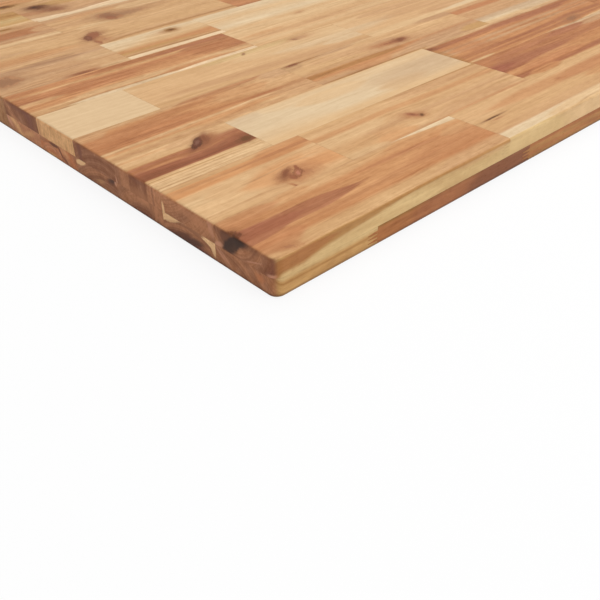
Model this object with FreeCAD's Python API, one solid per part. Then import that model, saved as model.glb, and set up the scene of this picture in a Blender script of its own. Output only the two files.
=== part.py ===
"""Butcher-block table top of solid acacia: two plies of staves, glued face to face.

Each ply is twelve rows of staves side by side, and each row is short staves
finger-jointed end to end. X runs along the staves, Y across them and Z up. The
origin is the middle of the underside. Row 1 is the front row, at the lowest Y,
and places along a row are measured from its left end, at the lowest X.
"""

import FreeCAD, Part
import math
import os

# Driving dimensions, in millimetres
length = 1000.0
stave_width = 50.0
rows = 12
ply_thickness = 12.5
corner_radius = 6.0  # the panel's four upright corners
arris_radius = 1.8  # easing sanded on the edges of the top and of the underside

finger_length = 8.0
finger_pitch = 2.5
finger_tip = 0.5  # flat at the end of a finger
least_shoulder = 2.0  # wood left outside the first and the last finger
glue_line = 0.1  # film of glue at the shoulders and on the flanks of the fingers
tip_gap = 0.2  # room left for glue at the end of a finger
shortest_stave = 70.0

# Lengths of the first staves of each row, from the left end, row 1 first
first_staves = {
    "upper": [
        (201.0,),
        (108.0, 186.0),
        (87.0, 205.0),
        (181.0, 202.0),
        (70.0, 216.0),
        (202.0,),
        (111.0, 97.0),
        (262.0,),
        (106.0, 248.0),
        (104.0, 268.0),
        (143.0,),
        (187.0,),
    ],
    "lower": [
        (77.0, 149.0),
        (168.0,),
        (233.0,),
        (96.0,),
        (142.0,),
        (257.0,),
        (74.0,),
        (196.0,),
        (119.0,),
        (216.0,),
        (83.0,),
        (175.0,),
    ],
}
# Lengths that the staves beyond those come in; each row takes them from its own start
stock_lengths = (268.0, 221.0, 247.0, 196.0, 283.0, 232.0, 209.0, 256.0)
row_skip_count = 3  # stock lengths that the next row starts further on
ply_skip_count = 5  # stock lengths that the lower ply starts further on

width = rows * stave_width
left_end = -length / 2
front_edge = -width / 2
ply_bottom = {"lower": 0.0, "upper": ply_thickness}
thickness = len(ply_bottom) * ply_thickness


def joint_places(ply, row):
    """Places of the finger joints of one row, as distances from the left end."""
    openings = first_staves[ply]
    start = row * row_skip_count + (ply_skip_count if ply == "lower" else 0)
    places = []
    reach = 0.0
    for stave in openings[row % len(openings)]:
        reach += stave
        places.append(reach)
    while reach < length:
        reach += stock_lengths[start % len(stock_lengths)]
        start += 1
        places.append(reach)
    return [place for place in places if place <= length - shortest_stave]


def finger_heights():
    """Middles of the fingers, as heights above the underside of their ply."""
    count = max(1, int((ply_thickness - 2 * least_shoulder) / finger_pitch))
    lowest = (ply_thickness - (count - 1) * finger_pitch) / 2
    return [lowest + number * finger_pitch for number in range(count)]


def socket_side(place, bottom):
    """End of the stave left of a joint: sockets cut between shoulders and fingers.

    The points run up the end. Its shoulders and finger tips are the joint's straight
    line on the face, and its sockets reach finger_length back from it.
    """
    half_tip = finger_tip / 2
    half_mouth = finger_pitch / 2 - half_tip
    points = [(place, bottom)]
    for height in finger_heights():
        middle = bottom + height
        points.append((place, middle - half_mouth))
        points.append((place - finger_length, middle - half_tip))
        points.append((place - finger_length, middle + half_tip))
        points.append((place, middle + half_mouth))
    points.append((place, bottom + ply_thickness))
    return points


def finger_side(place, bottom):
    """End of the stave right of a joint: fingers that fill the sockets, less the glue."""
    half_tip = finger_tip / 2
    half_mouth = finger_pitch / 2 - half_tip
    run = (half_mouth - half_tip) / finger_length  # how a flank narrows along the finger
    inset = glue_line * math.sqrt(1 + run**2)  # the film measured up the joint
    root = place + glue_line
    tip = place - finger_length + tip_gap
    half_root = half_mouth - inset + run * glue_line
    half_end = half_tip - inset + run * tip_gap
    points = [(root, bottom)]
    for height in finger_heights():
        middle = bottom + height
        points.append((root, middle - half_root))
        points.append((tip, middle - half_end))
        points.append((tip, middle + half_end))
        points.append((root, middle + half_root))
    points.append((root, bottom + ply_thickness))
    return points


def square_end(place, bottom):
    """Sawn end of a row, at an end of the panel."""
    return [(place, bottom), (place, bottom + ply_thickness)]


def panel_block():
    """The whole panel as one block, with its upright corners and its edges rounded."""
    block = Part.makeBox(
        length, width, thickness, FreeCAD.Vector(left_end, front_edge, 0)
    )
    upright = [
        edge
        for edge in block.Edges
        if abs(edge.Vertexes[0].Z - edge.Vertexes[1].Z) > thickness / 2
    ]
    block = block.makeFillet(corner_radius, upright)
    rims = [
        edge
        for edge in block.Edges
        if edge.BoundBox.ZLength < thickness / 2
    ]
    return block.makeFillet(arris_radius, rims)


def stave(left_points, right_points, front):
    """One stave: its outline seen from the front, drawn through the stave's width."""
    outline = right_points + left_points[::-1]
    corners = [
        FreeCAD.Vector(left_end + along, front, height) for along, height in outline
    ]
    face = Part.Face(Part.makePolygon(corners + corners[:1]))
    return face.extrude(FreeCAD.Vector(0, stave_width, 0))


def row_of_staves(ply, row, block):
    """The staves of one row, those on the panel's rim trimmed to its rounded edges."""
    bottom = ply_bottom[ply]
    front = front_edge + row * stave_width
    places = joint_places(ply, row)
    lefts = [square_end(0.0, bottom)] + [finger_side(p, bottom) for p in places]
    rights = [socket_side(p, bottom) for p in places] + [square_end(length, bottom)]
    staves = []
    for number, (left, right) in enumerate(zip(lefts, rights)):
        piece = stave(left, right, front)
        on_rim = row in (0, rows - 1) or number in (0, len(places))
        staves.append(piece.common(block).Solids[0] if on_rim else piece)
    return staves


def main():
    os.makedirs("parts", exist_ok=True)
    block = panel_block()
    for ply in ply_bottom:
        for row in range(rows):
            staves = row_of_staves(ply, row, block)
            shape = Part.makeCompound(staves)
            shape.exportStep(f"parts/{ply}_row_{row + 1:02d}.step")
            print(ply, row + 1, len(staves), "staves", round(shape.Volume / 1000), "cm3")


main()
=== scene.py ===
"""Looks, camera and light for a table top glued up from short acacia staves.

The panel is two plies of twelve rows, and each row is staves finger-jointed end to
end. The solids keep their shapes. Each stave gets its own cut of acacia: growth rings
around a pith that lies outside the stave, the tones that those rings have, streaks
that run out along it, and its knots. The wood is drawn in the solid, so a streak on
the top carries on down the side and shows as an arc on the sawn end.

Places are in millimetres from the panel's left end, its front edge and its underside.
Within a stave they are measured across the stave from its front side.
"""

import bpy
import math
import random
from mathutils import Matrix, Vector


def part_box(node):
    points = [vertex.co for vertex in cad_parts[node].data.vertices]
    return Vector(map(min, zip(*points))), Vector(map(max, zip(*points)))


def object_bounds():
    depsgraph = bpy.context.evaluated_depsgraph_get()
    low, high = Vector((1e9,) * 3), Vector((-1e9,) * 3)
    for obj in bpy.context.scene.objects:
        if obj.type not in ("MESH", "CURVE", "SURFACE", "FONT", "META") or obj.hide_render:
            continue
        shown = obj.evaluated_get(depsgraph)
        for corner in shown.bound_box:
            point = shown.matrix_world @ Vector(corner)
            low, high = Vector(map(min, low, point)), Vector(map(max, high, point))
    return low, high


mm = 1000.0  # millimetres in a metre
rows = 12
stave_width = 50.0
ply_thickness = 12.5
ply_bottom = {"upper": ply_thickness, "lower": 0.0}
face_up = {"upper": ply_thickness, "lower": 0.0}  # from the ply's bottom to its outer face
panel_corner = Vector((500.0, 300.0, 0.0))  # from the left front corner to the middle
finger_length = 8.0
glue_gap = 0.1
glue_line = (0.03, 0.3)  # where its darker line starts to fade, and where it is gone
glue_shade = 0.12  # how much that line darkens the wood
oiled_rough = 0.5  # the roughness of the oiled face
pore_rough = 0.12  # how much rougher an open pore is
sawn_rough = 0.14  # how much rougher a sawn end is
relief_depth = 0.00008  # of the fibres and pores, in metres
flame_tint = (0.82, 0.69, 0.58, 1.0)
white = (1.0, 1.0, 1.0, 1.0)

# Tones of oiled acacia, from the pale sapwood to the pitch in a knot
tones = dict(
    ivory="e7c8a0", cream="dabe97", straw="d9b384", honey="d4a979", biscuit="cea271",
    khaki="cdab76", tan="c89a6d", fawn="c2966d", amber="d09561", apricot="c78f5e",
    mushroom="c6a682", sienna="a96c3c", caramel="c1945b", ginger="c28757", copper="bb7e52",
    toffee="a97842", rust="af744a", brick="a66a48", mauve="a05e44", umber="965a3b",
    dun="946848", blush="b8785c", ash="805644", moss="6c4422", hazel="8f612d",
    chestnut="824e30", bark="6b3924", walnut="633515", pitch="341f13",
)

# Tones of the sawn ends, where the wood soaks up more oil and reads duller
end_tones = dict(
    cream="f4c48e", tan="e4ae76", rose="d69a7a", orange="cc7f50", fawn="c8885f",
    brown="b77b54", umber="a36c4b", bark="935c3c", mauve="86523d", dusk="714631",
    char="59392b", soot="3e2b22",
)

# What a knot is made of: its heart, its wood and its rim, how far they cover, and
# how gradually it ends, as a share of its size
knot_kinds = dict(
    dark=("pitch", "walnut", "bark", 0.95, 0.25),
    slit=("ash", "bark", "pitch", 0.95, 0.3),
    eye=("blush", "brick", "walnut", 0.95, 0.3),
    red=("umber", "umber", "chestnut", 0.95, 0.4),
    smoke=("chestnut", "chestnut", "umber", 0.9, 0.7),
    nut=("moss", "moss", "chestnut", 0.95, 0.5),
    hazel=("hazel", "hazel", "toffee", 0.95, 0.5),
    dun=("dun", "dun", "rust", 0.85, 0.5),
    soft=("chestnut", "brick", "umber", 0.75, 0.4),
    faint=("umber", "rust", "rust", 0.55, 0.6),
    check=("pitch", "walnut", "chestnut", 0.9, 0.5),
)

# What the mode that is written after a node's kind sets
modes = dict(
    Math="operation", VectorMath="operation", MapRange="interpolation_type",
    Mix="blend_type", TexNoise="noise_dimensions",
)
eased = "MapRange SMOOTHSTEP"  # from 0 at one value to 1 at another, eased at both ends


def colour(code):
    """Turn an sRGB hex code into Blender's linear red, green, blue and alpha."""
    parts = [int(code[at:at + 2], 16) / 255 for at in (0, 2, 4)]
    linear = [part / 12.92 if part <= 0.04045 else ((part + 0.055) / 1.055) ** 2.4 for part in parts]
    return (*linear, 1.0)


def adder(tree):
    """Clear a node tree and return the one function that adds nodes to it."""
    tree.nodes.clear()

    def add(kind, *inputs, named=None, **settings):
        """Add one node with its settings and links.

        The kind may have its mode, or a group its name, after a space. The inputs
        fill the node's visible sockets in order, and named ones fill sockets by name.
        Each is a value, a socket, or a node that stands for its first output. A Mix
        node mixes colours.
        """
        kind, _, mode = kind.partition(" ")
        made = tree.nodes.new(kind if "NodeGroup" in kind else "ShaderNode" + kind)
        if kind == "Mix":
            made.data_type = "RGBA"
        if kind == "Group":
            made.node_tree = bpy.data.node_groups[mode]
        elif mode:
            setattr(made, modes[kind], mode)
        for name, value in settings.items():
            setattr(made, name, value)
        sockets = [socket for socket in made.inputs if socket.enabled]
        pairs = list(zip(sockets, inputs))
        pairs += [(made.inputs[name], value) for name, value in (named or {}).items()]
        for socket, value in pairs:
            if isinstance(value, bpy.types.Node):
                value = next(output for output in value.outputs if output.enabled)
            if isinstance(value, bpy.types.NodeSocket):
                tree.links.new(value, socket)
            else:
                socket.default_value = value
        return made

    return add


def start_group(name, takes, gives):
    """Start a node group: the function that adds to it, and the sockets that it takes.

    Takes and gives list its sockets, each with a letter for its kind, as "V Place".
    The group ends with a NodeGroupOutput that is given its results.
    """
    kinds = {"F": "NodeSocketFloat", "V": "NodeSocketVector", "C": "NodeSocketColor"}
    tree = bpy.data.node_groups.new(name, "ShaderNodeTree")
    for labels, way in ((takes, "INPUT"), (gives, "OUTPUT")):
        for label in labels.split(", "):
            kind = kinds[label[0]]
            tree.interface.new_socket(name=label[2:], in_out=way, socket_type=kind)
    add = adder(tree)
    taken = list(add("NodeGroupInput").outputs)
    return add, taken[:-1]  # the last is Blender's own empty socket


def grain(add, place, long, wide, detail, rough, seed=None):
    """A noise drawn out along the stave, its spots so many millimetres long and wide."""
    spot = add("VectorMath MULTIPLY", place, (1 / long, 1 / wide, 1 / wide))
    if seed is None:
        return add("TexNoise", spot, 1.0, detail, rough)
    return add("TexNoise 4D", spot, seed, 1.0, detail, rough)


def ring_distance():
    """Group: how far a point of the stave is from the pith, in millimetres.

    The pith wanders and leans along the trunk, so the rings come out on the face as
    long, slightly wavy bands.
    """
    add, (place, pith, lean, wander, seed) = start_group(
        "Distance from the pith", "V Place, V Pith, F Lean, F Wander, F Seed", "F Ring"
    )
    away = add("VectorMath SUBTRACT", place, pith)
    flat = add("VectorMath MULTIPLY", away, (0.0, 1.0, 1.0))
    radius = add("VectorMath LENGTH", flat)
    along = add("SeparateXYZ", away)
    ring = add("Math MULTIPLY_ADD", along, lean, radius)
    # Long waves of a hand's length, and short ones of a finger's
    for long, wide, share in ((170, 40, 2.0), (48, 11, 0.7)):
        wave = grain(add, place, long, wide, 2.0, 0.5, seed)
        swing = add("Math SUBTRACT", wave, 0.5)
        reach = add("Math MULTIPLY", wander, share)
        ring = add("Math MULTIPLY_ADD", swing, reach, ring)
    add("NodeGroupOutput", ring)


def streak_cover():
    """Group: how much of a point a streak covers, from its place among the rings.

    A streak narrows to a point at each end, as the fading edge of heartwood does.
    """
    add, (ring, along, middle, slope, half, soft, start, end, fade, strength) = start_group(
        "Streak that runs out",
        "F Ring, F Along, F Middle, F Slope, F Half width, F Soft, F Start, F End, F Fade, F Strength",
        "F Cover",
    )
    opened = add("Math ADD", start, fade)
    begins = add(eased, along, start, opened)
    closing = add("Math SUBTRACT", end, fade)
    ends = add(eased, along, closing, end, 1.0, 0.0)
    window = add("Math MULTIPLY", begins, ends)
    half = add("Math MULTIPLY", half, window)
    gone = add("Math SUBTRACT", along, start)
    middle = add("Math MULTIPLY_ADD", gone, slope, middle)
    off = add("Math SUBTRACT", ring, middle)
    off = add("Math ABSOLUTE", off)
    inner = add("Math SUBTRACT", half, soft)
    outer = add("Math ADD", half, soft)
    body = add(eased, off, inner, outer, 1.0, 0.0)
    shown = add("Math MULTIPLY", window, 3.0, use_clamp=True)
    cover = add("Math MULTIPLY", body, shown)
    cover = add("Math MULTIPLY", cover, strength)
    add("NodeGroupOutput", cover)


def knot_reach():
    """Group: how far a point is from a knot's middle, 1 at its rim.

    Shifted is the place with the grain parted around the knot, as it grows.
    """
    add, (place, middle, half_length, half_width, turn, taper, tilt, parting) = start_group(
        "Knot and the grain around it",
        "V Place, V Middle, F Half length, F Half width, F Turn, F Taper, F Tilt, F Parting",
        "F Reach, V Shifted",
    )
    # Its outline is ragged by up to half its width
    fineness = add("Math DIVIDE", 0.8, half_width)
    rough = add("TexNoise", place, fineness, 1.5, 0.5).outputs["Color"]
    rough = add("VectorMath SUBTRACT", rough, (0.5, 0.5, 0.5))
    rough = add("VectorMath SCALE", rough, named={"Scale": half_width})
    from_middle = add("VectorMath SUBTRACT", place, middle)
    ragged = add("VectorMath ADD", from_middle, rough)
    depth = add("SeparateXYZ", from_middle).outputs["Z"]
    sideways = add("Math MULTIPLY", depth, tilt)
    leaning = add("CombineXYZ", 0.0, sideways, 0.0)
    upright = add("VectorMath SUBTRACT", ragged, leaning)
    turned = add("VectorRotate", upright, (0.0, 0.0, 0.0), turn, rotation_type="Z_AXIS")
    size = add("CombineXYZ", half_length, half_width, 1e6)
    shares = add("VectorMath DIVIDE", turned, size)
    reach = add("VectorMath LENGTH", shares)
    narrow = add("Math MULTIPLY_ADD", depth, taper, 1.0)
    narrow = add("Math MAXIMUM", narrow, 0.15)
    reach = add("Math DIVIDE", reach, narrow)
    # The grain gives way up to about three times the knot's size
    falling = add("Math MULTIPLY", reach, reach)
    falling = add("Math MULTIPLY", falling, -0.22)
    falling = add("Math EXPONENT", falling)
    falling = add("Math MULTIPLY", falling, parting)
    across = add("SeparateXYZ", from_middle).outputs["Y"]
    parted = add("Math MULTIPLY", across, falling)
    aside = add("CombineXYZ", 0.0, parted, 0.0)
    shifted = add("VectorMath SUBTRACT", place, aside)
    add("NodeGroupOutput", reach, shifted)


def knot_wood():
    """Group: the knot's own wood laid over the stave's.

    Its heart is nearly black and checked, the wood around it shows tight rings, a
    dark line marks its rim, and the grain close by is stained.
    """
    add, (under, bare_reach, place, heart_tone, wood_tone, rim_tone, strength, soft, size) = start_group(
        "Knot wood",
        "C Under, F Reach, V Place, C Heart, C Wood, C Rim, F Strength, F Soft, F Size",
        "C Colour",
    )
    fineness = add("Math DIVIDE", 3.0, size)
    clouds = add("TexNoise", place, fineness, 3.0, 0.65)
    swing = add("Math SUBTRACT", clouds, 0.5)
    reach = add("Math MULTIPLY_ADD", swing, 1.3, bare_reach)
    stain = add(eased, bare_reach, 0.8, 2.6, 0.3, 0.0)
    stain = add("Math MULTIPLY", stain, strength)
    stained = add("Mix", stain, under, wood_tone)
    ringed = add("Math MULTIPLY", reach, 17.0)
    ringed = add("Math SINE", ringed)
    ringed = add("MapRange", ringed, -1.0, 1.0, 0.0, 0.28)
    wood = add("Mix", ringed, wood_tone, rim_tone)
    heart = add(eased, reach, 0.15, 0.62, 1.0, 0.0)
    wood = add("Mix", heart, wood, heart_tone)
    rim = add("Math SUBTRACT", reach, 0.92)
    rim = add("Math ABSOLUTE", rim)
    rim = add(eased, rim, 0.0, 0.22, 0.85, 0.0)
    wood = add("Mix", rim, wood, rim_tone)
    inside = add("Math SUBTRACT", 1.0, soft)
    outside = add("Math ADD", 1.0, soft)
    cover = add(eased, reach, inside, outside, 1.0, 0.0)
    cover = add("Math MULTIPLY", cover, strength)
    add("NodeGroupOutput", add("Mix", cover, stained, wood))


def warm_shade(add, shade):
    """A colour to multiply wood by: darker wood is also warmer, lighter is paler."""
    green = add("Math POWER", shade, 1.35)
    blue = add("Math POWER", shade, 1.7)
    return add("CombineColor", shade, green, blue)


def fine_figure():
    """Group: the fine lines that every stave shows.

    Growth lines are 1 to 3 mm apart, fibre lines half a millimetre, and the open
    pores are dark dashes 3 to 6 mm long. The real pores are 0.2 mm wide; here they
    are 0.35 mm, so that they show.
    """
    add, (place, ring, seed, vigour) = start_group(
        "Fine figure of acacia",
        "V Place, F Ring, F Seed, F Vigour",
        "C Shade, F Pores, F Relief, F Flame",
    )
    apart = add("SeparateXYZ", place)
    far = add("Math MULTIPLY", apart, 1 / 55)
    # The lines waver by a millimetre or so every three centimetres
    waver = grain(add, place, 32, 9, 1.0, 0.5, seed)
    waver = add("Math MULTIPLY_ADD", waver, 4.0, ring)
    ringed = add("Math MULTIPLY", waver, 1 / 2.3)
    round_pith = add("Math MULTIPLY", apart.outputs["Z"], 1 / 30)
    spot = add("CombineXYZ", far, ringed, round_pith)
    growth = add("TexNoise 4D", spot, seed, 1.0, 3.0, 0.62)
    clouds = grain(add, place, 60, 11, 2.0, 0.5, seed)
    fibre = grain(add, place, 26, 0.55, 2.0, 0.6)
    mottle = grain(add, place, 7, 5, 2.0, 0.6)
    dashes = grain(add, place, 4.5, 0.4, 0.0, 0.5)
    pores = add(eased, dashes, 0.62, 0.74)
    # Flames: stretches of warmer, darker wood a few millimetres wide
    farther = add("Math MULTIPLY", apart, 1 / 130)
    broad = add("Math MULTIPLY", ring, 1 / 6.5)
    spot = add("CombineXYZ", farther, broad, round_pith)
    flame = add("TexNoise 4D", spot, seed, 1.0, 4.0, 0.66)
    flame = add(eased, flame, 0.46, 0.68)
    # Growth lines come and go along the stave
    presence = grain(add, place, 45, 6, 1.0, 0.5, seed)
    presence = add("MapRange", presence, 0.35, 0.65, 0.2, 1.7)
    shade = add("MapRange", growth, 0.25, 0.75, -0.12, 0.12)
    shade = add("Math MULTIPLY", shade, presence)
    for texture, swing in ((clouds, 0.05), (fibre, 0.045), (mottle, 0.05)):
        part = add("MapRange", texture, 0.25, 0.75, -swing, swing)
        shade = add("Math ADD", shade, part)
    shade = add("Math MULTIPLY_ADD", pores, -0.07, shade)
    shade = add("Math MULTIPLY_ADD", shade, vigour, 1.0)
    shade = warm_shade(add, shade)
    relief = add("MapRange", fibre, 0.3, 0.7, 0.0, 0.35)
    relief = add("Math SUBTRACT", relief, pores)
    add("NodeGroupOutput", shade, pores, relief, flame)


def sawn_figure():
    """Group: how light the sawn end is: crisp growth lines, and saw marks smeared."""
    add, (place, ring) = start_group("Figure of the sawn end", "V Place, F Ring", "C Shade")
    lines = add("Math MULTIPLY", ring, 1 / 1.3)
    lines = add("TexNoise 1D", lines, 1.0, 2.0, 0.7)
    shade = add("MapRange", lines, 0.3, 0.7, 0.9, 1.1)
    for fineness, swing in ((0.16, 0.16), (0.6, 0.1)):
        smear = add("VectorMath MULTIPLY", place, (0.0, fineness, fineness))
        smear = add("TexNoise", smear, 1.0, 3.0, 0.6)
        smear = add("MapRange", smear, 0.3, 0.7, 1.0 - swing, 1.0 + swing)
        shade = add("Math MULTIPLY", shade, smear)
    add("NodeGroupOutput", warm_shade(add, shade))


def listed(make, text):
    """The bands, knots or marks in a text, each a name and its numbers in turn."""
    entries = [entry.split() for entry in text.split(",") if entry]
    return [make(name, *map(float, numbers)) for name, *numbers in entries]


def band(tone, across, half, start=-50.0, end=1100.0, slope=0.0, fade=40.0, soft=1.2, strength=0.9):
    """A streak: its tone, its middle, half its width, and where it starts and ends.

    Then how far it drifts across in each millimetre, how long it takes to come and to
    go, how soft its sides are, and how much it covers.
    """
    return locals()


def knot(kind, along, across, half_length, half_width, turn=0.0, parting=0.55,
         strength=1.0, taper=0.02, tilt=0.0):
    """A knot: its kind, the place of its middle, its size, and its turn in degrees.

    Then how far the grain parts around it, how much it covers, and how it narrows and
    drifts across in each millimetre of depth.
    """
    return locals()


def cut(pith, rings, streaks="", knots="", lean=0.0, wander=1.6, end=0.78, flame=0.45):
    """How one stave was cut from the log.

    The pith is (across, up) from the stave's lower front edge. The rings are tones
    with the places where they come out on the stave's face, or, after an @, with
    their distance from the pith. The streaks and knots are texts for listed(), and a
    streak covers those before it. End is how light the sawn end is beside the face,
    and flame how strongly the wood is streaked all over.
    """
    streaks = listed(band, streaks)
    knots = listed(knot, knots)
    return locals()


def mark(tone, across, up, half_long, half_short, turn=0.0, soft=0.35, strength=0.9):
    """A patch on a sawn end: its tone, middle, size, turn in degrees, softness and cover."""
    return locals()


def sawn_end(pith, rings, marks="", wander=1.0):
    """The panel's left end where one row is sawn off: its arcs and its patches.

    The pith is (across, up) from the stave's lower front edge, the rings are tones
    with their distance from it, and the patches are where the wood near the end
    turns to sapwood, to a knot or to a crack.
    """
    marks = listed(mark, marks)
    return locals()


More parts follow.
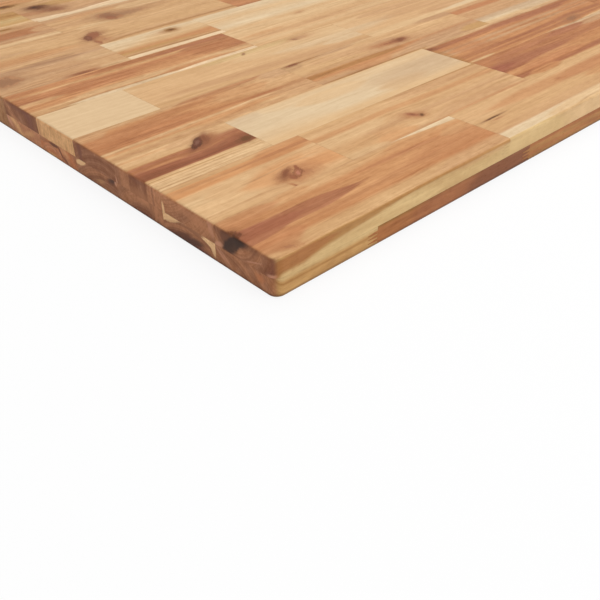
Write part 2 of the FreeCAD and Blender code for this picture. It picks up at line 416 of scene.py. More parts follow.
upper_cuts = {
    (1, 1): cut((-12, -3),
        "@11 khaki, @15 khaki, @18.6 khaki, @19.4 caramel, 0.4 biscuit, 9 biscuit, 13 ginger, 19 apricot,"
        " 33 apricot, 36 ginger, 40 apricot, 47 biscuit, 50 tan",
        "toffee -12 2.8 -300 140 .028 130 .9, sienna -12 2.5 -300 56 .028 36 .9 .7,"
        " copper 14 7 -60 40 0 20 2 .8, rust 33 7 -60 26 0 14 3 .6, brick 28.6 5.8 -50 104 -.014 50 .8,"
        " mauve 26.6 7.4 -80 62 0 60 .8 .5, brick 21.4 2.8 -60 38 0 30 .8 .8,"
        " umber 28.2 .7 55 108 -.02 25 .7 .4, rust 16.5 1.6 20 150 .02 50 1.5 .5,"
        " rust 20.5 1 70 210 .02 50 1 .5, brick 37 2 84 190 -.03 50 1.5 .4, biscuit 34 5 168 260 0 16 2 .5,"
        " honey 43 3 10 120 0 30 2 .5, copper 44 5 -60 50 0 26 2 .7, apricot 45 4 36 70 0 12 2 .6,"
        " tan 4 5 120 260 0 40 2 .8, toffee -.5 .9 60 270 0 40 .6 .8, apricot 44 5 120 200 0 30 2 .7,"
        " copper 22 11 110 280 0 60 4 .45, cream 51.5 7 116 320 0 95 .7",
        "dark 0 33.4 4.4 4.4 0 .25 .85 .02 -.85, faint 14 5 8 3 -20 .2 1.1", wander=0.9, flame=0.35),
    (1, 2): cut((-26, 3),
        "@25 khaki, @27.4 khaki, @28.2 khaki, 1.6 cream, 8.2 cream, 10 tan, 14 biscuit, 29 biscuit,"
        " 33 honey, 42 honey, 50 biscuit",
        "ginger 36.5 6 205 520 0 70 2.2 .65, ginger 25 5 322 460 0 30 2 .6,"
        " copper 35 6.5 290 560 0 60 3 .65, straw 3 6 230 520 0 60 2 .8, tan 15 3 200 420 .01 60 2 .5",
        "check 219.5 27.6 10 .9 0 .2 .9, faint 221 24.4 6 .8 0 .2, faint 312 36 3 1.6 0 .2",
        wander=0.5, flame=0.2),
    (2, 1): cut((-34, 16),
        "0 biscuit, 4 honey, 12 straw, 27 straw, 34 honey, 36.5 amber, 39 amber, 41 apricot, 43 apricot,"
        " 44.5 amber, 46 biscuit, 48.5 biscuit, 50 tan",
        "amber 18 12 18 190 0 50 5 .8, honey 15 6 -60 44 0 24 3 .8, ginger 45 5 60 128 0 20 2 .8,"
        " ginger 37.6 3 46 200 0 24 1.5 .7, rust 41.3 1.6 30 200 0 50 1 .7, honey 5 4 30 74 0 16 2 .8,"
        " honey 25 5 8 52 0 16 2, tan 22.8 .6 30 112 -.012 25 .5 .8, copper 14.5 4.5 76 114 0 18 2 .45,"
        " tan 7 .6 -20 70 0 25 .5 .6, straw 24 14 84 200 0 22 3 .3, amber 14 6 80 200 0 20 3 .75",
        "faint 77 8.5 13 7 16 .2 .9, smoke 67.4 15.5 6.4 2.2 34 .3 1.15, smoke 63 13.5 7 4 20 .2 .5,"
        " eye 73.2 11.6 5.6 2.7 32 .6, red 67.2 11 2.2 1.5 0 .2, red 76.9 14.2 2.2 1 50 .2,"
        " faint 61.6 3.6 1.2 4.4 10 .1 1.5", wander=1.2, flame=0.24),
    (2, 2): cut((-48, -20),
        "0 tan, 2 tan, 4 honey, 9 honey, 12 biscuit, 19 tan, 22 honey, 30 biscuit, 36 biscuit, 42 honey,"
        " 47 biscuit, 50 biscuit",
        "ginger 36 3 80 460 -.014 30 1.2 .6, tan 45 5 180 360 0 40 2 .8, tan 6 6 180 300 0 40 2.5 .8,"
        " ginger 1.5 1.6 170 300 0 30 1.2 .5, tan 19.6 .8 150 420 0 60 .8 .8,"
        " tan 3.4 .5 150 280 0 40 .5 .8, toffee 49.3 .7 195 400 0 50 .5 .7, apricot 12 4 98 180 0 30 3 .5,"
        " amber 5 4 124 180 0 16 2 .6, biscuit 13 10 76 150 0 20 3 .6, straw 27 5 80 176 0 24 2 .6,"
        " straw 2 3.4 80 150 0 20 1.5 .7",
        "faint 186 18 9 5 -36 .35, soft 186 18.9 3.4 1.7 -42 .2 1.2, nut 190.2 15.9 1.9 1 20 .2",
        flame=0.25),
    (2, 3): cut((-60, 30),
        "0 biscuit, 3.2 biscuit, 5.2 rust, 7 brick, 10.5 rust, 13 ginger, 16 apricot, 18.5 ginger,"
        " 20.5 brick, 24 brick, 32 brick, 37 rust, 41 copper, 45 copper, 47.5 rust, 50 rust",
        "apricot 18 4 300 520 .03 50 2 .8, ginger 5 4.5 300 350 0 18 2, rust 35 10 340 800 0 90 5 .7,"
        " brick 34 5 294 350 0 24 2.5 .6, mauve 28.5 6.5 240 330 0 40 3 .8, brick 8 3 370 600 0 40 1.5 .8,"
        " rust 44 4 350 440 0 30 2 .8, fawn 45 5 420 700 0 30 2, copper 14 5 300 400 0 30 2,"
        " ginger 24 4.5 365 600 0 50 2 .8, brick 45 4.5 380 450 0 24 2, brick 43 3 296 400 0 30 2 .6,"
        " cream 50.2 3.2 385 700 0 90 .8 .65", lean=0.006),
    (3, 1): cut((-70, 10),
        "0 straw, 6 straw, 11 straw, 12 biscuit, 13 straw, 15.8 biscuit, 17 umber, 26 umber, 28.5 brick,"
        " 31 rust, 34 brick, 35.6 rust, 37.2 biscuit, 44 honey, 50 honey",
        "ginger 28.6 1.3 4 44 0 14 1.2 .7, umber 27 5 46 200 0 40 2 .6, brick 35.5 3.4 50 200 0 25 2 .8,"
        " chestnut 20 2.6 -60 44 0 50 2 .4, toffee 13.4 .45 -20 72 -.01 25 .4 .8,"
        " tan 9.6 .45 -20 80 0 25 .4 .8, tan 6.2 .4 0 80 0 25 .4 .7, tan 2.9 .5 -20 90 0 25 .4 .7,"
        " apricot 46 1 -30 60 .01 30 .8 .6, tan 45 5 30 76 0 16 2 .7, chestnut 25 1.3 44 74 0 12 .8 .7,"
        " bark 19.4 .7 14 80 0 20 .6 .5",
        "faint 63 38 9 5 25 .2 1.4, smoke 60 36.4 8 4.2 32 .2 .6, smoke 49.6 33.6 5 1.4 34 .1 .9,"
        " slit 55.2 37.6 8.2 2.6 31 .3, smoke 62.6 38.9 4.4 1.5 46 .1 1.1, nut 81.5 20.2 6.6 4 10 .2,"
        " soft 66 26 11 1.3 0 .1 .8", wander=0.8, flame=0.5),
    (3, 2): cut((-30, -35), "0 straw, 5 straw, 12 cream, 24 cream, 33 cream, 46 cream, 50 straw",
        "straw 26 14 170 420 0 120 6 .6, straw 8 8 40 170 0 60 6 .5, straw 35 6 130 220 0 30 2 .7,"
        " biscuit 15 5 196 262 0 24 3 .6, mushroom 26 12 170 420 0 110 8 .7, straw 45 6 104 320 0 30 3 .5,"
        " mushroom 45 6 60 118 0 12 3 .4", flame=0.02),
    (3, 3): cut((90, -40),
        "0 apricot, 3 ginger, 5.4 rust, 8 ginger, 10.6 rust, 13.5 rust, 16.5 ginger, 20 ginger, 23.5 fawn,"
        " 27 ginger, 30.5 fawn, 34 ginger, 37.5 copper, 40.5 brick, 44.8 rust, 46.4 fawn, 50 honey",
        "brick 42.4 2.8 362 486 -.03 25 1.2 .75, copper 25 6 450 700 0 20 3 .5,"
        " brick 37.6 3 396 486 0 24 2 .75, straw 48.8 2 322 384 0 16 1 .6, straw 48.8 2 424 466 0 14 1 .7,"
        " copper 25 6 295 350 0 20 3 .6, brick 15 5 310 354 0 12 2 .25, straw 1.6 1.3 286 330 0 16 .6,"
        " straw .4 1.3 384 700 0 40 .6, brick 12.3 1.6 320 600 0 50 1 .6, brick 7 .8 300 600 0 50 .8 .6,"
        " toffee 25 30 270 300 0 9 10 .5",
        "dun 446 7 11 4.4 15, smoke 295 43.5 4 2", flame=0.4),
    (4, 1): cut((-20, -40),
        "0 biscuit, 4 tan, 8 biscuit, 11 apricot, 13.5 honey, 15 apricot, 18 ginger, 20 ginger, 24 apricot,"
        " 34 apricot, 40 ginger, 44 apricot, 47 tan, 50 biscuit",
        "copper 28 8 -60 110 0 70 4 .8, honey 33 12 84 400 .02 80 6 .8, rust 23.4 1.6 5 260 -.02 40 1,"
        " rust 47 2.2 72 170 .02 26 1.2 .8, apricot 14 4 55 140 0 25 2 .8, tan 13 5 130 240 0 40 2.5,"
        " straw 14 .8 -20 160 .008 30 .5 .7, rust 36.5 1 10 120 .03 30 1 .5,"
        " rust 41.5 .9 40 140 .02 30 .8 .5, apricot 35 4.5 106 160 0 16 2 .6, tan 45 5 -60 26 0 12 2 .7,"
        " fawn 45 5 152 240 0 14 2 .7", wander=1.2, flame=0.5),
    (4, 2): cut((-35, -14),
        "0 fawn, 3 fawn, 7 tan, 11 ginger, 14.5 ginger, 18.5 ginger, 21 tan, 27 biscuit, 33 biscuit,"
        " 45 honey, 50 straw",
        "fawn 9 8 262 460 0 60 3, tan 26 5 276 420 0 30 2, toffee 16.5 3 140 300 0 40 1.5 .7,"
        " fawn 46.5 5 325 460 0 40 2, caramel 5 5 345 400 0 20 2 .8, toffee .8 1.2 170 310 0 35 .6 .8,"
        " dun 43 5 166 202 0 12 2 .3, fawn 25 5 250 300 0 16 2 .5, ginger 7 4 212 268 0 16 2 .7,"
        " fawn 34 4 264 304 0 14 2 .7, tan 38 3 196 256 0 16 1.5 .8, fawn 47.8 2.6 190 270 0 26 1.2 .8,"
        " toffee 48.5 1 170 236 0 26 .7, honey 30 8 300 420 0 40 4 .5, tan 35 6 226 280 0 16 2 .8",
        "faint 284 28.8 18 4 -3 .4 1.6, smoke 297 28.2 6 2.8 0 .2 1.1, smoke 192.5 47.8 6 1.8 0 .2 1.1",
        flame=0.35),
    (4, 3): cut((-50, 25),
        "0 straw, 3 straw, 7 cream, 11 mushroom, 14 mushroom, 18 tan, 34 tan, 36.5 copper, 43 copper,"
        " 46 tan, 50 tan",
        "mushroom 6 7 430 700 0 20 2 .6", lean=0.01, flame=0.3),
    (5, 1): cut((-55, -25), "0 cream, 50 cream",
        "straw 25 40 -90 160 0 40 6 .5", wander=2.0, flame=0.0),
    (5, 2): cut((-38, -12),
        "0 tan, 2.5 biscuit, 6 biscuit, 10 honey, 24 honey, 38 honey, 45 straw, 47.5 biscuit, 49 straw,"
        " 50 honey",
        "tan 17 4.5 60 300 -.055 70 2.2, tan 5 2.2 180 285 -.01 40 2 .6, cream 28 9 180 420 0 60 5 .6,"
        " straw 35 6 150 420 0 40 4, biscuit 45 5 66 160 0 30 3 .8, khaki 46 4 130 250 0 30 2 .7,"
        " cream 14.5 4.5 235 310 0 25 2 .6",
        "faint 242 43.2 13 4.2 -4 .1 .8, dun 235.6 42.3 3 1.6 -30 .1 .9, smoke 182 45 2.6 1.2 40 .2 .8",
        flame=0.12),
    (5, 3): cut((-38, -12), "0 straw, 6 straw, 10 honey, 24 honey, 38 honey, 45 straw, 50 honey",
        "straw 35 6 150 350 0 60 4, tan 44 6 300 460 0 40 2 .8, tan 13 5 350 500 0 40 2 .8,"
        " cream 28 9 180 360 0 60 5 .6, cream 4 2.6 372 600 .03 40 .8 .7, tan 27 6 300 600 .02 60 3 .7,"
        " honey 35 6 260 350 0 30 2 .8", flame=0.12),
    (6, 1): cut((-22, -8),
        "0 biscuit, 2 apricot, 4.2 toffee, 5.2 apricot, 7 honey, 12 honey, 16 apricot, 20 copper,"
        " 33 copper, 36 apricot, 39 biscuit, 41 apricot, 43.5 ginger, 47 copper, 50 apricot",
        "ginger 17 7 -60 62 0 40 2.5, honey 4.5 2.5 -60 64 0 24 1 .6, copper 34 4 -40 76 0 30 2 .8,"
        " rust 36.8 5.2 140 260 0 25 1.6, honey 22.6 3 -60 42 0 24 1.6 .8, rust 46 4 -60 32 0 16 2 .6,"
        " brick 27.6 1.2 -30 30 0 20 1 .6, rust 35 5 -60 26 0 14 2.5 .6, apricot 21 7 84 178 0 40 4 .7,"
        " rust 24 8 146 260 0 24 3 .45, rust 15 4 172 260 0 12 2 .4, brick 20 3 184 260 0 12 2 .35,"
        " rust 45.8 3.4 50 260 0 40 1.5 1, brick 44 2.4 120 260 0 25 1.5 .8, rust 31 1.2 20 120 0 30 1 .6,"
        " cream 1.6 2 16 260 0 36 .6 .95, ginger 6 3.4 104 184 0 24 2 .8, ivory 1.2 2.6 108 320 0 40 .5 1",
        wander=0.7, flame=0.55),
    (6, 2): cut((-40, 6),
        "0 biscuit, 5 honey, 9 straw, 14 honey, 17.5 tan, 20 honey, 26 honey, 36 straw, 44 straw, 50 honey",
        "tan 19 2.2 205 440 0 60 1.6 .5, tan 8.5 2.6 280 520 -.02 60 1.6 .6,"
        " apricot 25 3 200 260 0 25 2 .5, straw 15 5 316 400 0 25 2 .7",
        "faint 291 46 6 2.4 10 .3 .7", flame=0.2),
    (7, 1): cut((-64, -12), "0 fawn, 8 tan, 18 fawn, 30 tan, 38 fawn, 43 fawn, 46 tan, 50 tan",
        "dun 43.5 2.6 15 105 -.02 40 2 .5, tan 15 5 -60 130 0 30 3 .5, dun 47.6 2.4 36 92 0 16 1.5 .45,"
        " straw 32 7 72 180 0 20 3 .6, straw 2 4 76 180 0 14 2, biscuit 15 8 70 180 0 20 3 .5",
        "faint 70 2.4 15 3.6 0 .2 1.4, smoke 67 2.6 8 1.8 -4 .2 .7, dun 16 27 13 10 20 .4", flame=0.4),
    (7, 2): cut((-10, -26),
        "0 ivory, 5.6 ivory, 7.5 toffee, 10 tan, 13 caramel, 19 apricot, 24 biscuit, 28 straw, 36 straw,"
        " 46 cream, 50 straw",
        "ginger 17 4 150 330 0 60 1.8 .8, cream 38 9 60 165 0 50 4 .6",
        "faint 174 39 10 4.4 0 .3 .8, hazel 177 39.8 5.2 3.2 0 .3, check 178 39.8 2.4 .9 0 .1 .7",
        wander=0.7, flame=0.25),
    (7, 3): cut((-58, -44), "0 straw, 10 cream, 30 straw, 42 cream, 50 cream", wander=2.5, flame=0.15),
    (8, 1): cut((-30, 22),
        "0 biscuit, 4 tan, 7 tan, 14 biscuit, 22 biscuit, 28 biscuit, 40 honey, 50 biscuit",
        "apricot 14 7 -60 118 0 60 4 .7, toffee 4 1.8 95 330 .01 40 1.4 .7, fawn 30 3 -60 90 0 50 2 .6",
        "red 119.5 25 12.4 6.2 42 .5, red 115 12 1.8 7 0 .1 .85, faint 122 14 6 7 0 .3,"
        " slit 114 22 4 3 42 .1 .5", flame=0.35),
    (8, 2): cut((-18, -30), "0 rust, 8 copper, 20 rust, 26 copper, 34 ginger, 44 biscuit, 50 tan"),
    (9, 1): cut((-42, -6),
        "0 tan, 2.6 straw, 8.4 straw, 10.5 tan, 17 fawn, 22 rust, 30 rust, 36 ginger, 39 tan, 43 tan,"
        " 45.5 toffee, 48.6 toffee, 50 tan",
        "tan 27 9 84 240 0 16 3, tan 47 4 74 240 0 16 2", wander=1.0),
    (9, 2): cut((-26, 34),
        "0 tan, 5 biscuit, 8 biscuit, 20 tan, 30 biscuit, 38 tan, 42 fawn, 44.5 tan, 46.6 cream, 50 ivory",
        "apricot 34 5 110 190 0 30 3 .5, straw 30 9 172 300 0 20 3 .6, straw 3 4 112 176 0 24 2 .8",
        "dun 178 13 24 6 0 .3 .7, dun 161.5 15.5 11 9 -25 .3 1.1, red 160 12 4 5 20 .3 .6", flame=0.35),
    (10, 1): cut((-36, -18),
        "0 honey, 6 straw, 9 caramel, 20 khaki, 28 caramel, 34 toffee, 40 caramel, 50 tan"),
    (10, 2): cut((-46, 12), "0 ivory, 7.5 ivory, 9.5 fawn, 16 tan, 28 tan, 40 tan, 50 tan",
        "rust 26 5 90 132 0 14 2.5 .6, caramel 42 9 122 300 0 22 3 .8",
        "smoke 134 28 15 10 -35 .4 .6, nut 126.5 36.5 9 5.6 -12 .3, smoke 135 25 8 4 -10 .3 .7,"
        " dark 125.4 36.8 6.4 3 -12 .1 .8", flame=0.35),
    (11, 1): cut((-16, -22), "0 tan, 10 biscuit, 16 apricot, 26 apricot, 38 tan, 50 honey",
        "",
        "hazel 106 12.5 13 5 0 .4, dark 104 13.5 6 2 -6 .2 .6"),
}

lower_cuts = {
    (1, 1): cut((46, -24),
        "@22 brick, @30 copper, @36 rust, @43 copper, @50 caramel, @55.2 caramel, @56.1 toffee,"
        " @56.8 caramel, @58 khaki, @60 khaki", wander=0.8),
    (1, 2): cut((44, -30), "@28 brick, @36 rust, @44 umber, @50 sienna, @60 sienna, @61.2 hazel",
        "umber 0 12 96 205 0 30 6 .5, chestnut 0 16 140 320 0 60 5", wander=1.4),
    (1, 3): cut((38, 34),
        "@20 copper, @34 rust, @43 sienna, @44.6 sienna, @46 toffee, @48 sienna, @49.6 toffee,"
        " @51.5 sienna, @62 rust", wander=1.2),
    (2, 1): cut((25.5, -22),
        "@20 umber, @27 rust, @29 rust, @33 umber, @35.4 umber, @36.4 straw, @42 cream", wander=1.0),
    (3, 1): cut((20, -8),
        "@6 brick, @13 umber, @15.5 umber, @17 copper, @24 ginger, @29 apricot, @33 ginger, @40 tan",
        wander=1.4),
    (4, 1): cut((12, -40),
        "@38 rust, @44 ginger, @50 rust, @54 copper, @57.6 rust, @58.8 straw, @64 cream", wander=1.0),
    (5, 1): cut((34, -10),
        "@8 amber, @14 apricot, @20 ginger, @28 biscuit, @33 apricot, @42 ginger", wander=1.2),
    (6, 1): cut((70, -30), "@30 fawn, @42 tan, @48 fawn, @52 straw, @55 fawn, @66 apricot, @78 tan"),
}

left_ends = {
    ("upper", 1): sawn_end((32, 19),
        "@0 umber, @8 brown, @12 umber, @15 brown, @19 umber, @22 brown, @25 umber, @29 bark, @34 mauve",
        "mauve 1 8 2 8 0 .6 .6, dusk 30 11.4 17 3 0 .6 .6, dusk 39.5 8 6 6 0 .5 .85,"
        " char 27 11 6.5 3 -20 .5 .7, soot 33 7.2 12.2 4.2 -38 .3 .88, rose 47 1 4 1.6 -20 .6 .8,"
        " rose 2 .6 4 1.4 0 .6 .8, rose 17 3.4 6 .5 -18 .7 .5"),
    ("upper", 2): sawn_end((60, 50),
        "@34 brown, @40 fawn, @44 brown, @50 brown, @56 umber, @60 brown, @70 brown, @78 umber",
        "fawn 16 8 16 3 8 .7 .6, cream 48.8 2 4.8 1.2 88 .4, rose 3 8.5 5 2 70 .6 .5"),
    ("upper", 3): sawn_end((-70, 6),
        "@70 brown, @72.5 fawn, @75 brown, @77 fawn, @79 umber, @81 fawn, @84 brown, @86 bark, @89 umber,"
        " @92 umber, @96 bark, @103 bark, @105.5 brown, @112 brown, @116 umber, @121 umber",
        "brown 24 .5 12 4 0 .6 .7, mauve 22 10.5 10 2 0 .7 .5, rose 50 2.2 3.2 1.4 70 .6 .8", wander=0.7),
    ("upper", 4): sawn_end((14, -44),
        "@40 bark, @44 umber, @47 bark, @50 umber, @53 bark, @56 umber, @60 bark, @66 umber",
        "mauve 42.5 7 3 7 0 .6"),
    ("upper", 5): sawn_end((-60, -10), "@60 tan, @72 tan, @84 tan, @92 tan, @100 tan, @112 tan",
        "fawn 47.5 4 2.5 9 0 .6 .6, orange 15 12.5 30 1.6 0 .7 .3", wander=0.8),
    ("upper", 6): sawn_end((70, -20),
        "@24 umber, @32 bark, @38 brown, @44 bark, @50 umber, @56 bark, @64 mauve, @72 bark, @80 umber",
        "mauve 26 11 18 2.6 0 .7 .7, fawn 34 .5 12 2 14 .6 .5"),
    ("lower", 1): sawn_end((46, -24),
        "@20 brown, @26 umber, @30 brown, @34 umber, @38 brown, @42 umber, @46 brown, @49 umber, @53 brown,"
        " @58 umber, @64 bark",
        "orange 12 8.4 3.6 2.4 0 .6 .6, rose 46 8.5 6 .9 38 .7 .6, rose 41 7 7 .7 40 .7 .5"),
    ("lower", 2): sawn_end((26, -40),
        "@38 umber, @41 dusk, @45 mauve, @47.4 umber, @49.5 brown, @51.2 umber, @52.4 umber, @52.8 cream,"
        " @60 cream",
        "dusk 34 3.4 12 1.6 -22 .6 .8, char 20 4.6 10 2.2 -12 .6 .8, umber 17.5 12 6.6 1.9 0 .3 .95,"
        " cream 2.4 7.4 4.4 1.7 62 .3, cream 41.5 10.8 8 2.1 -16 .35 .8", wander=0.5),
    ("lower", 3): sawn_end((20, -16),
        "@10 bark, @16 mauve, @21 bark, @23.5 umber, @26 brown, @31 brown, @36 umber, @40 brown, @46 brown",
        "fawn 7.5 7 1.4 8 0 .5 .7, fawn 18 11.6 5 1.4 0 .6 .6, umber 12 8 .9 8 0 .6 .7"),
    ("lower", 4): sawn_end((12, -40),
        "@38 umber, @42 brown, @45 umber, @47 umber, @49 bark, @52 brown, @56 umber, @60 brown",
        "dusk 6 10.6 5 2.2 -14 .5, char 4.6 11.4 3.4 1.2 -14 .5 .8, tan 20 5.6 5 1.2 -12 .6 .4,"
        " rose .6 11 1.8 1.6 0 .5 .8, cream 44 10.8 6.8 2 -14 .25 .95"),
    ("lower", 5): sawn_end((34, -10),
        "@8 orange, @12 tan, @15 orange, @18 fawn, @22 orange, @26 fawn, @32 orange, @40 umber",
        "umber 46 10.6 7 1.6 0 .6 .7, dusk 30 11 7 1.3 0 .4 .95, dusk 21.4 8 4.6 1.1 60 .4,"
        " mauve 16 4.2 4 1.4 35 .5 .85, tan 14 9.6 4 1.8 25 .6 .4"),
    ("lower", 6): sawn_end((70, -30),
        "@30 fawn, @36 fawn, @42 brown, @47 fawn, @52 tan, @56 fawn, @61 fawn, @66 fawn, @72 fawn, @80 fawn",
        "rose 47 9 6 2 50 .5 .8, tan 17 7 9 2 -20 .6 .5"),
}

# Cuts for the staves that have none of their own above: rings, as a share across
common_cuts = (
    "0 honey, 9 straw, 20 honey, 30 biscuit, 38 honey, 50 straw",
    "0 biscuit, 8 tan, 15 apricot, 24 biscuit, 35 honey, 44 tan, 50 biscuit",
    "0 cream, 14 cream, 30 straw, 44 cream, 50 ivory",
    "0 tan, 6 apricot, 14 copper, 22 rust, 30 copper, 38 ginger, 46 tan, 50 honey",
    "0 ivory, 5 ivory, 7 ginger, 16 copper, 25 ginger, 36 copper, 50 rust",
    "0 rust, 9 brick, 18 mauve, 28 brick, 36 rust, 43 ginger, 50 apricot",
    "0 fawn, 12 tan, 20 fawn, 27 toffee, 30 fawn, 42 tan, 50 biscuit",
    "0 honey, 10 khaki, 22 caramel, 28 khaki, 40 straw, 50 honey",
    "0 copper, 10 ginger, 20 apricot, 28 biscuit, 33 honey, 41 straw, 50 cream",
    "0 straw, 14 biscuit, 17 umber, 25 brick, 33 rust, 36 biscuit, 50 honey",
)
streak_tones = ("rust", "copper", "ginger", "toffee", "tan", "honey", "straw")


def drawn_cut(ply, row, number, low, high):
    """A cut drawn by lot for a stave with none of its own, the same in every run."""
    lot = random.Random(f"{ply} {row} {number}")
    rings = lot.choice(common_cuts)
    pith = (lot.uniform(-60, -8), lot.uniform(-45, 35))
    if lot.random() < 0.4:
        pith = (stave_width - pith[0], pith[1])
    made = cut(pith, rings)
    made["streaks"] = [
        band(
            lot.choice(streak_tones), lot.uniform(4, 46), lot.uniform(1.0, 4.5),
            low + lot.uniform(-120, 120), high + lot.uniform(-60, 200), lot.uniform(-0.03, 0.03),
            lot.uniform(30, 90), lot.uniform(0.8, 2.5), lot.uniform(0.4, 0.8),
        )
        for count in range(lot.randint(1, 4))
    ]
    if lot.random() < 0.38:
        kind = lot.choice(("dark", "slit", "soft", "red", "smoke"))
        long = lot.uniform(4, 12)
        made["knots"] = [
            knot(
                kind, lot.uniform(low + 15, high - 15), lot.uniform(8, 42), long,
                long * lot.uniform(0.4, 0.75), lot.uniform(-40, 40),
            )
        ]
    made["lean"] = lot.uniform(-0.012, 0.012)
    made["wander"] = lot.uniform(1.0, 2.6)
    made["end"] = lot.uniform(0.68, 0.88)
    return made


def ring_at(pith, across, up):
    """Distance from the pith of a place across a stave, at a height above its bottom."""
    return math.hypot(across - pith[0], up - pith[1])


def ring_stops(made, up):
    """The rings of a cut as (distance from the pith, tone), the nearest first."""
    stops = []
    for entry in made["rings"].split(","):
        place, tone = entry.split()
        if place[0] == "@":
            distance = float(place[1:])
        else:
            distance = ring_at(made["pith"], float(place), up)
        stops.append((distance, tone))
    return sorted(stops)


def ring_colours(add, ring, stops, palette):
    """The tones of the rings, as a ramp over the distance from the pith."""
    first = stops[0][0]
    last = stops[-1][0]
    share = add("MapRange", ring, first, last)
    ramp = add("ValToRGB", share)
    elements = ramp.color_ramp.elements
    while len(elements) < len(stops):
        elements.new(0.5)
    for element, (distance, tone) in zip(elements, stops):
        element.position = (distance - first) / (last - first)
    for element, (distance, tone) in zip(elements, stops):
        element.color = colour(palette[tone])
    return ramp


def glued_edges(add, place, row):
    """How near a point is to a glued joint: thin darker lines between staves."""
    apart = add("SeparateXYZ", place)
    near = add("Math SUBTRACT", apart.outputs["Z"], ply_thickness)
    near = add("Math ABSOLUTE", near)
    for side in (row, row - 1):
        if 0 < side < rows:
            gap = add("Math SUBTRACT", apart.outputs["Y"], side * stave_width)
            gap = add("Math ABSOLUTE", gap)
            near = add("Math MINIMUM", near, gap)
    return add(eased, near, *glue_line, 1.0, 0.0)


def marked_end(add, place, end, front, bottom, seed):
    """The colour of one row's sawn end at the left of the panel."""
    pith = (0.0, front + end["pith"][0], bottom + end["pith"][1])
    ring = add("Group Distance from the pith", place, pith, 0.0, end["wander"], seed)
    wood = ring_colours(add, ring, ring_stops(end, 0.0), end_tones)
    shade = add("Group Figure of the sawn end", place, ring)
    wood = add("Mix MULTIPLY", 1.0, wood, shade)
    flat = add("SeparateXYZ", place)
    flat = add("CombineXYZ", flat.outputs["Y"], flat.outputs["Z"], 0.0)
    for one in end["marks"]:
        middle = (front + one["across"], bottom + one["up"], 0.0)
        reach = add(
            "Group Knot and the grain around it", flat, middle, one["half_long"],
            one["half_short"], math.radians(-one["turn"]), 0.0, 0.0, 0.0,
        )
        soft = one["soft"]
        cover = add(eased, reach, 1 - soft, 1 + soft, one["strength"], 0.0)
        wood = add("Mix", cover, wood, colour(end_tones[one["tone"]]))
    return wood


def plain_end(add, place, ring, wood, light):
    """The colour of a sawn end with no patches: the face's, darker and warmer."""
    deep = (light, light * 0.82, light * 0.68, 1.0)
    dark = add("Mix MULTIPLY", 1.0, wood, deep)
    shade = add("Group Figure of the sawn end", place, ring)
    return add("Mix MULTIPLY", 1.0, dark, shade)


def grain_around_knots(add, place, knots, front, up):
    """The place with the grain parted around each knot, and how far each knot is."""
    reaches = []
    for one in knots:
        middle = (one["along"], front + one["across"], up)
        reach = add(
            "Group Knot and the grain around it", place, middle, one["half_length"], one["half_width"],
            math.radians(-one["turn"]), one["taper"], one["tilt"], one["parting"],
        )
        place = reach.outputs["Shifted"]
        reaches.append(reach.outputs["Reach"])
    return place, reaches


def streaked(add, wood, made, ring, along, up):
    """The wood with its streaks laid over it, each at its place among the rings."""
    pith = made["pith"]
    facing = 1 if pith[0] < stave_width / 2 else -1  # which way the rings are counted
    for one in made["streaks"]:
        middle = ring_at(pith, one["across"], up)
        if one["across"] < 0 and facing > 0:
            middle = ring_at(pith, 0, up) + one["across"]
        cover = add(
            "Group Streak that runs out", ring, along, middle, facing * one["slope"], one["half"],
            one["soft"], one["start"], one["end"], one["fade"], one["strength"],
        )
        wood = add("Mix", cover, wood, colour(tones[one["tone"]]))
    return wood


def knotted(add, wood, place, knots, reaches):
    """The wood with its knots laid over it."""
    for one, reach in zip(knots, reaches):
        heart, body, rim, strength, soft = knot_kinds[one["kind"]]
        wood = add(
            "Group Knot wood", wood, reach, place, colour(tones[heart]), colour(tones[body]),
            colour(tones[rim]), strength * one["strength"], soft, one["half_width"],
        )
    return wood


def dusty(add, wood, place, normal):
    """The wood with a painted shade on its eased lower edge, a darker line below the panel.

    The painted shade thins out from 1.2 to 3.4 mm up, and the underside itself has none.
    """
    up = add("SeparateXYZ", place).outputs["Z"]
    # painted shade: the lower edge is drawn darker near the floor, in the pitch tone, where the panel's own
    # shadow falls
    dust = add(eased, up, 1.2, 3.4, 0.5, 0.0)
    aside = add(eased, normal.outputs["Z"], -0.95, -0.75)
    dust = add("Math MULTIPLY", dust, aside)
    return add("Mix", dust, wood, colour(tones["pitch"]))


def new_material(name):
    """An empty material and the function that adds nodes to it."""
    material = bpy.data.materials.new(name)
    material.use_nodes = True
    return material, adder(material.node_tree)


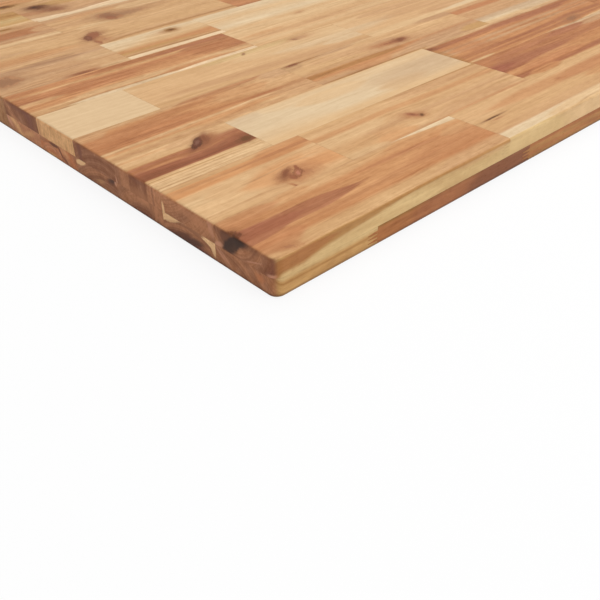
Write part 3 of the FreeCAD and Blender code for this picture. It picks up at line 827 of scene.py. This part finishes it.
def acacia(ply, row, number, low, high):
    """Acacia, planed, sanded and oiled: one stave's wood.

    The oil gives it a low even sheen and deepens the colour. The sawn end drinks
    more of it, so it is darker and duller than the face.
    """
    cuts = upper_cuts if ply == "upper" else lower_cuts
    made = cuts.get((row, number)) or drawn_cut(ply, row, number, low, high)
    seed = random.Random(f"wood {ply} {row} {number}").uniform(0, 400)
    material, add = new_material(f"Acacia oiled {ply} row {row:02d} stave {number}")
    front = (row - 1) * stave_width
    bottom = ply_bottom[ply]
    up = face_up[ply]
    pith = (low, front + made["pith"][0], bottom + made["pith"][1])

    position = add("TexCoord").outputs["Object"]
    place = add("VectorMath MULTIPLY_ADD", position, (mm, mm, mm), panel_corner)
    parted, reaches = grain_around_knots(add, place, made["knots"], front, bottom + up)
    ring = add("Group Distance from the pith", parted, pith, made["lean"], made["wander"], seed)
    wood = ring_colours(add, ring, ring_stops(made, up), tones)
    along = add("SeparateXYZ", place)
    wood = streaked(add, wood, made, ring, along, up)
    vigour = 0.5 + 2.2 * made["flame"]
    figure = add("Group Fine figure of acacia", parted, ring, seed, vigour)
    flamed = add("Mix MULTIPLY", 1.0, wood, flame_tint)
    flame = add("Math MULTIPLY", figure.outputs["Flame"], made["flame"])
    wood = add("Mix", flame, wood, flamed)
    wood = add("Mix MULTIPLY", 1.0, wood, figure.outputs["Shade"])
    wood = knotted(add, wood, place, made["knots"], reaches)

    normal = add("SeparateXYZ", add("NewGeometry").outputs["Normal"])
    sawn = add("Math ABSOLUTE", normal)
    sawn = add(eased, sawn, 0.45, 0.9)
    end = left_ends.get((ply, row)) if number == 1 else None
    if end:
        dark = marked_end(add, place, end, front, bottom, seed)
    else:
        dark = plain_end(add, place, ring, wood, made["end"])
    wood = add("Mix", sawn, wood, dark)
    # the lower ply gets a painted shade line along its eased bottom edge, near the floor
    if ply == "lower":
        wood = dusty(add, wood, place, normal)
    glue = glued_edges(add, place, row)
    glue = add("Math MULTIPLY", glue, glue_shade)
    wood = add("Mix", glue, wood, colour(tones["walnut"]))

    rough = add("Math MULTIPLY_ADD", figure.outputs["Pores"], pore_rough, oiled_rough)
    rough = add("Math MULTIPLY_ADD", sawn, sawn_rough, rough)
    bump = add("Bump", 0.35, relief_depth, 0.1, figure.outputs["Relief"])
    shader = add(
        "BsdfPrincipled",
        named={"Base Color": wood, "Roughness": rough, "Normal": bump, "IOR": 1.5,
               "Specular IOR Level": 0.18},
    )
    add("OutputMaterial", shader)
    return material


def joint_places(mesh, up):
    """Where the staves of a row meet, in metres, from the gaps in its show face."""
    along = sorted({round(v.co.x, 6) for v in mesh.vertices if abs(v.co.z - up) < 1e-6})
    gap = glue_gap / mm
    return [left for left, right in zip(along, along[1:]) if abs(right - left - gap) < 1e-5]


def stave_number(low, high, joints):
    """Which stave a face belongs to, 0 at the left, from its extent along the row.

    Fingers of the stave right of a joint reach back past it, and end short of the
    bottoms of the sockets that they fill.
    """
    number = 0
    slack = glue_gap / 2 / mm
    for joint in joints:
        beyond = high > joint + slack
        socket = joint - finger_length / mm
        finger_end = socket + slack < low and high < joint - slack
        number += beyond or finger_end
    return number


def dress_row(node, ply, row):
    """Give each stave of one row its own wood."""
    mesh = node.data
    joints = joint_places(mesh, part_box(node.name)[1].z if ply == "upper" else 0.0)
    middle = panel_corner.x
    limits = [0.0] + [joint * mm + middle for joint in joints] + [2 * middle]
    mesh.materials.clear()
    for number, (low, high) in enumerate(zip(limits, limits[1:]), start=1):
        mesh.materials.append(acacia(ply, row, number, low, high))
    for face in mesh.polygons:
        reach = [mesh.vertices[corner].co.x for corner in face.vertices]
        face.material_index = stave_number(min(reach), max(reach), joints)


def studio_paper():
    """White studio paper, matt: it reads white and keeps a soft shadow.

    Away from the panel it turns to the white of the backdrop, so no horizon shows.
    """
    material, add = new_material("White studio paper, matt")
    paper = add(
        "BsdfPrincipled",
        named={"Base Color": (0.86, 0.86, 0.86, 1), "Roughness": 0.9, "Specular IOR Level": 0.1},
    )
    glow = add("Emission", white, 1.0)
    away = add("VectorMath LENGTH", add("TexCoord").outputs["Object"])
    share = add("MapRange", away, 1.0, 3.5, 0.88, 1.0)
    # Seen by the camera, in a reflection or through glass
    path = add("LightPath")
    seen = path.outputs["Is Camera Ray"]
    for ray in ("Is Glossy Ray", "Is Transmission Ray"):
        seen = add("Math MAXIMUM", seen, path.outputs[ray])
    seen = add("Math MULTIPLY", seen, share)
    add("OutputMaterial", add("MixShader", seen, paper, glow))
    return material


def floor():
    """A plain sheet of studio paper that the panel lies on, far wider than the view."""
    half = 40.0
    below = 0.0002  # so that it doesn't touch the underside
    mesh = bpy.data.meshes.new("studio_floor")
    corners = [(-half, -half, 0), (half, -half, 0), (half, half, 0), (-half, half, 0)]
    mesh.from_pydata(corners, [], [(0, 1, 2, 3)])
    mesh.materials.append(studio_paper())
    sheet = bpy.data.objects.new("studio_floor", mesh)
    sheet.location.z = -below
    bpy.context.scene.collection.objects.link(sheet)


def soft_light(name, place, aim, size, watts):
    """A square softbox aimed at a place on the panel."""
    lamp = bpy.data.lights.new(name, "AREA")
    lamp.shape = "SQUARE"
    lamp.size = size
    lamp.energy = watts
    box = bpy.data.objects.new(name, lamp)
    box.location = place
    way = Vector(aim) - Vector(place)
    box.rotation_euler = way.to_track_quat("-Z", "Y").to_euler()
    bpy.context.scene.collection.objects.link(box)


def studio():
    """An even white surround, a softbox overhead and one towards the long side."""
    world = bpy.data.worlds.new("studio")
    bpy.context.scene.world = world
    world.use_nodes = True
    add = adder(world.node_tree)
    surround = add("Background", white, 0.38)
    backdrop = add("Background", white, 1.0)
    shown = add("MixShader", add("LightPath"), surround, backdrop)
    add("OutputWorld", shown)
    soft_light("overhead softbox", (0.1, 0.1, 2.4), (0.0, 0.0, 0.0), 2.6, 47.0)
    soft_light("long side softbox", (0.5, -2.0, 1.1), (-0.2, -0.3, 0.0), 1.6, 22.0)


def camera():
    """The photograph's view: low over the left front corner, along the panel."""
    right = Vector((0.73303, -0.67995, -0.0186)).normalized()
    back = Vector((-0.53827, -0.59658, 0.59528)).normalized()
    turn = Matrix((right, back.cross(right), back)).transposed().to_4x4()
    lens = bpy.data.cameras.new("camera")
    lens.sensor_width = 36.0
    lens.lens = 46.93
    lens.clip_start = 0.01
    eye = bpy.data.objects.new("camera", lens)
    eye.matrix_world = Matrix.Translation((-0.7091, -0.5502, 0.2418)) @ turn
    bpy.context.scene.collection.objects.link(eye)
    bpy.context.scene.camera = eye


def bounds_list():
    """The box of all pieces, as plain numbers."""
    return [[float(value) for value in corner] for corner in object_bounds()]


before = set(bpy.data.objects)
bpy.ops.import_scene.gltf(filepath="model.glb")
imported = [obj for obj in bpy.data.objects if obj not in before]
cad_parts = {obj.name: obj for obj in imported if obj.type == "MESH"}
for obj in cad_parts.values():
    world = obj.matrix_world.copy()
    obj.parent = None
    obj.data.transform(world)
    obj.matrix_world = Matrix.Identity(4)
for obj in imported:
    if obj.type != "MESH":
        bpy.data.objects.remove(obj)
cad_box = bounds_list()
bpy.context.scene.view_settings.view_transform = "Standard"
camera()
studio()
floor()
for make_group in (ring_distance, streak_cover, knot_reach, knot_wood, fine_figure, sawn_figure):
    make_group()
for ply in ("upper", "lower"):
    for row in range(1, rows + 1):
        dress_row(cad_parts[f"{ply}_row_{row:02d}"], ply, row)
